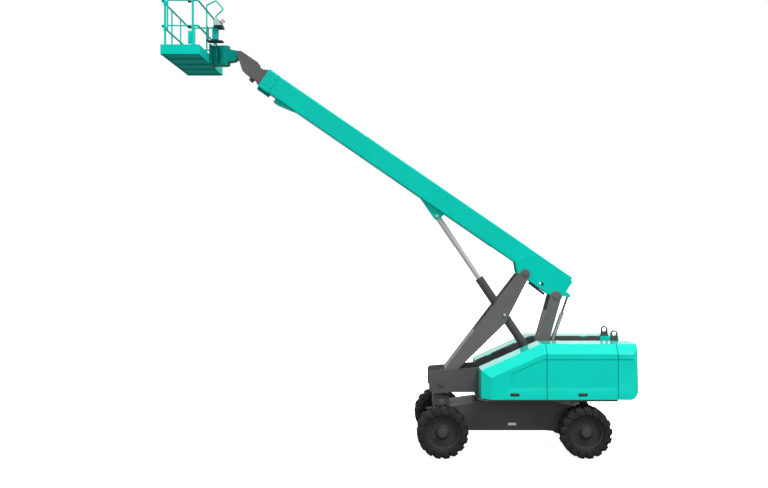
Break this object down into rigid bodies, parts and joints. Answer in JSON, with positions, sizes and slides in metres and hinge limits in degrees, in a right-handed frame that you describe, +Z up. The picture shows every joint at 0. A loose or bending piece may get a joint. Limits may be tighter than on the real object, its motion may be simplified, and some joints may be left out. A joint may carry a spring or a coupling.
{
  "type": "telescopic boom lift",
  "caption": "Wheeled telescopic boom lift with slewing turntable, floating boom linkage, nested boom and railed work platform held level.",
  "frame": {"origin": "on the ground under the slew axis, midway between the axles", "axes": "+X forward along the boom to the platform, +Y to the machine's left side, +Z up"},
  "size_m": [9.4943, 2.5, 9.3132],
  "materials": {
    "teal_paint": "gloss",
    "grey_paint": "satin",
    "chassis_paint": "satin",
    "tyre": "matte",
    "wheel_paint": "satin",
    "chrome": "polished",
    "cylinder_paint": "satin",
    "steel": "brushed",
    "cast": "matte",
    "plastic": "matte",
    "hood_teal": "gloss",
    "cast_teal": "gloss",
    "engine_grey": "satin"
  },
  "bodies": {
    "chassis": {"chassis_frame": "chassis_paint", "slew_ring": "chassis_paint", "front_axle": "chassis_paint", "rear_axle": "chassis_paint"},
    "turntable": {"turntable_frame": "grey_paint", "counterweight": "cast_teal", "lifting_eyes": "cast", "engine_block": "engine_grey", "hydraulic_tank": "plastic"},
    "arm": {"arm": "grey_paint"},
    "boom": {"boom_base": "teal_paint"},
    "rear_link": {"rear_link": "grey_paint"},
    "lift_rod": {"lift_rod": "chrome"},
    "lift_barrel": {"lift_barrel": "cylinder_paint"},
    "level_rod": {"level_rod": "cylinder_paint"},
    "level_barrel": {"level_barrel": "steel"},
    "boom_mid": {"boom_mid": "grey_paint"},
    "boom_fly": {"boom_fly": "grey_paint"},
    "level_head": {"level_head": "teal_paint"},
    "platform": {"platform_support": "teal_paint", "platform_floor": "teal_paint", "platform_rails": "teal_paint", "console": "plastic"},
    "gate": {"gate": "teal_paint"},
    "wheel_front_left": {"tyre_front_left": "tyre", "rim_front_left": "wheel_paint"},
    "knuckle_left": {"knuckle_left": "chassis_paint"},
    "wheel_front_right": {"tyre_front_right": "tyre", "rim_front_right": "wheel_paint"},
    "knuckle_right": {"knuckle_right": "chassis_paint"},
    "wheel_rear_left": {"tyre_rear_left": "tyre", "rim_rear_left": "wheel_paint"},
    "wheel_rear_right": {"tyre_rear_right": "tyre", "rim_rear_right": "wheel_paint"},
    "front_cover_left": {"front_cover_left": "hood_teal", "handle_front_cover_left": "plastic"},
    "front_cover_right": {"front_cover_right": "hood_teal", "handle_front_cover_right": "plastic"},
    "rear_cover_left": {"rear_cover_left": "hood_teal", "handle_rear_cover_left": "plastic"},
    "rear_cover_right": {"rear_cover_right": "hood_teal", "handle_rear_cover_right": "plastic"}
  },
  "joints": [
    {"name": "slew", "type": "hinge", "parent": "chassis", "child": "turntable", "pos_m": [0, 0, 1.13], "axis": [0, 0, 1], "continuous": true},
    {"name": "steer_left", "type": "hinge", "parent": "chassis", "child": "knuckle_left", "pos_m": [1.425, 0.745, 0.515], "axis": [0, 0, 1], "range_deg": [-32, 32]},
    {"name": "spin_front_left", "type": "hinge", "parent": "knuckle_left", "child": "wheel_front_left", "pos_m": [1.425, 1.04, 0.515], "axis": [0, 1, 0], "continuous": true},
    {"name": "steer_right", "type": "hinge", "parent": "chassis", "child": "knuckle_right", "pos_m": [1.425, -0.745, 0.515], "axis": [0, 0, 1], "range_deg": [-32, 32]},
    {"name": "spin_front_right", "type": "hinge", "parent": "knuckle_right", "child": "wheel_front_right", "pos_m": [1.425, -1.04, 0.515], "axis": [0, 1, 0], "continuous": true},
    {"name": "spin_rear_left", "type": "hinge", "parent": "chassis", "child": "wheel_rear_left", "pos_m": [-1.425, 1.04, 0.515], "axis": [0, 1, 0], "continuous": true},
    {"name": "spin_rear_right", "type": "hinge", "parent": "chassis", "child": "wheel_rear_right", "pos_m": [-1.425, -1.04, 0.515], "axis": [0, 1, 0], "continuous": true},
    {"name": "front_cover_left_hinge", "type": "hinge", "parent": "turntable", "child": "front_cover_left", "pos_m": [-0.55695, 0.457, 2.24448], "axis": [0.9127, 0, -0.4086], "range_deg": [0, 60]},
    {"name": "front_cover_right_hinge", "type": "hinge", "parent": "turntable", "child": "front_cover_right", "pos_m": [-0.55695, -0.457, 2.24448], "axis": [-0.9127, 0, 0.4086], "range_deg": [0, 60]},
    {"name": "rear_cover_left_hinge", "type": "hinge", "parent": "turntable", "child": "rear_cover_left", "pos_m": [-2.06, 0.457, 2.243], "axis": [1, 0, 0], "range_deg": [0, 60]},
    {"name": "rear_cover_right_hinge", "type": "hinge", "parent": "turntable", "child": "rear_cover_right", "pos_m": [-2.06, -0.457, 2.243], "axis": [-1, 0, 0], "range_deg": [0, 60]},
    {"name": "boom_lift", "type": "hinge", "parent": "turntable", "child": "arm", "pos_m": [1.42, 0, 1.37], "axis": [0, 1, 0], "range_deg": [-19, 19.8]},
    {"name": "boom_pivot", "type": "hinge", "parent": "arm", "child": "boom", "pos_m": [-0.35, 0, 3.63], "axis": [0, -1, 0], "range_deg": [-53.6, 55.85]},
    {"name": "rear_link_pivot", "type": "hinge", "parent": "boom", "child": "rear_link", "pos_m": [-0.99, 0, 3.155], "axis": [0, 1, 0], "range_deg": [-67.49, 70.33]},
    {"name": "lift_rod_pivot", "type": "hinge", "parent": "boom", "child": "lift_rod", "pos_m": [1.483, 0, 4.84], "axis": [0, 1, 0], "range_deg": [-10.14, 10.57]},
    {"name": "lift_stroke", "type": "slide", "parent": "lift_rod", "child": "lift_barrel", "axis": [-0.5602, 0, -0.8283], "range_m": [-0.7495, 0.781]},
    {"name": "level_rod_pivot", "type": "hinge", "parent": "boom", "child": "level_rod", "pos_m": [-1.255, 0.15, 3.175], "axis": [0, 1, 0], "range_deg": [-64.63, 67.34]},
    {"name": "level_stroke", "type": "slide", "parent": "level_rod", "child": "level_barrel", "axis": [-0.3269, 0, 0.9451], "range_m": [-0.0973, 0.1013]},
    {"name": "telescope", "type": "slide", "parent": "boom", "child": "boom_mid", "axis": [0.8241, 0, 0.5664], "range_m": [0, 6.4]},
    {"name": "telescope_fly", "type": "slide", "parent": "boom_mid", "child": "boom_fly", "axis": [0.8241, 0, 0.5664], "range_m": [0, 6.4]},
    {"name": "platform_level", "type": "hinge", "parent": "boom_fly", "child": "level_head", "pos_m": [5.63261, 0, 8.25137], "axis": [0, 1, 0], "range_deg": [-34.6, 36.05]},
    {"name": "platform_turn", "type": "hinge", "parent": "level_head", "child": "platform", "pos_m": [5.99, 0, 8.225], "axis": [0, 0, 1], "range_deg": [-80, 80]},
    {"name": "gate_hinge", "type": "hinge", "parent": "platform", "child": "gate", "pos_m": [6.935, 1.1907, 8.66], "axis": [0, 0, 1], "range_deg": [0, 90]}
  ],
  "couplings": [
    {"joint": "steer_right", "follows": "steer_left", "ratio": 1},
    {"joint": "boom_pivot", "follows": "boom_lift", "ratio": 2.8182},
    {"joint": "rear_link_pivot", "follows": "boom_lift", "ratio": 3.5495},
    {"joint": "lift_rod_pivot", "follows": "boom_lift", "ratio": 0.5312},
    {"joint": "lift_stroke", "follows": "boom_lift", "m_per_rad": 2.2586},
    {"joint": "level_rod_pivot", "follows": "boom_lift", "ratio": 3.3987},
    {"joint": "level_stroke", "follows": "boom_lift", "m_per_rad": 0.2918},
    {"joint": "platform_level", "follows": "boom_lift", "ratio": 1.8182},
    {"joint": "telescope_fly", "follows": "telescope", "ratio": 1}
  ]
}
